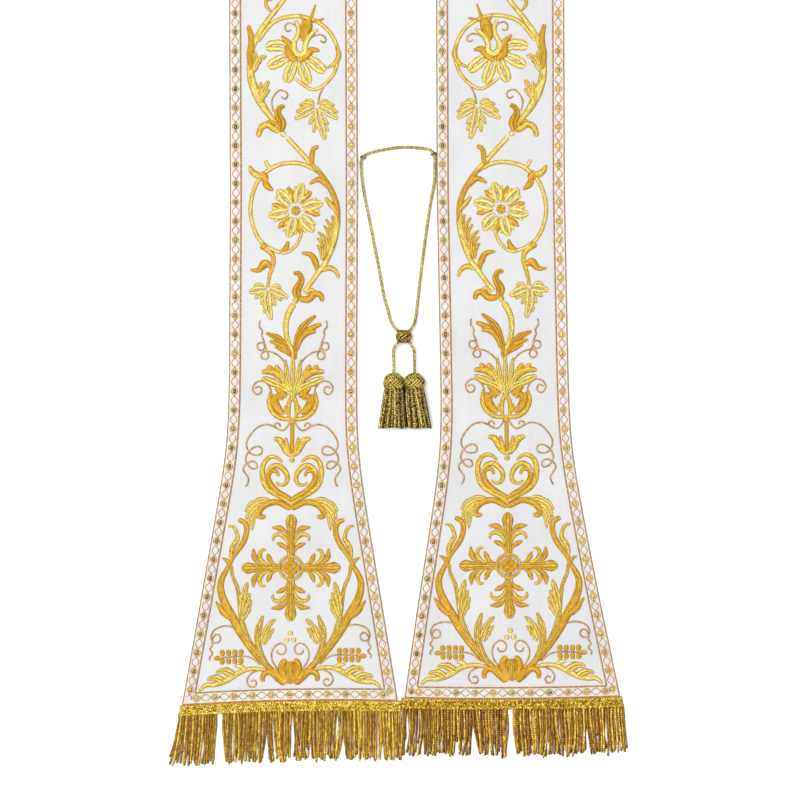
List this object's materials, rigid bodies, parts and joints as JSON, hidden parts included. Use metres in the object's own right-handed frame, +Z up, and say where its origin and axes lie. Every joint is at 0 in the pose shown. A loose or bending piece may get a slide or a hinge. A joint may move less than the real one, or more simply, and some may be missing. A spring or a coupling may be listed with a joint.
{
  "type": "clerical stole",
  "caption": "White Roman-style stole laid flat, with flared ends, braid borders, raised gold embroidery, bullion fringes, and a tie cord with slide knot and tassels.",
  "frame": {"origin": "on the surface that the stole lies on, under the middle of its length and width", "axes": "+X across the stole towards the panel on the right as seen from above with the hems below, +Y along the panels from the hems towards the nape, +Z up through the embroidered face"},
  "size_m": [0.4579, 1.2025, 0.0169],
  "materials": {
    "white_cloth": "matt cool white moire cloth",
    "braid": "woven cream galloon with gold spangles and ochre edge lines",
    "gold_thread": "satin metallic gold thread, raised",
    "bullion": "twisted metallic gold bullion",
    "cord": "twisted antique gold cord",
    "loop_thread": "matt dark thread"
  },
  "bodies": {
    "root": {"braid_hem_left": "braid", "braid_hem_right": "braid", "braid_inner_left": "braid", "braid_inner_right": "braid", "braid_outer_left": "braid", "braid_outer_right": "braid", "cord_tail_left": "cord", "cord_tail_right": "cord", "cord_tie": "cord", "cross_left": "gold_thread", "cross_right": "gold_thread", "fringe_left": "bullion", "fringe_right": "bullion", "heart_left": "gold_thread", "heart_right": "gold_thread", "lily_left": "gold_thread", "lily_right": "gold_thread", "loop_left": "loop_thread", "loop_right": "loop_thread", "lyre_left": "gold_thread", "lyre_right": "gold_thread", "panel_left": "white_cloth", "panel_right": "white_cloth", "rosette_left": "gold_thread", "rosette_right": "gold_thread", "slide": "cord", "tassel_left": "bullion", "tassel_right": "bullion", "urn_left": "gold_thread", "urn_right": "gold_thread", "vine_left": "gold_thread", "vine_right": "gold_thread"}
  },
  "joints": []
}
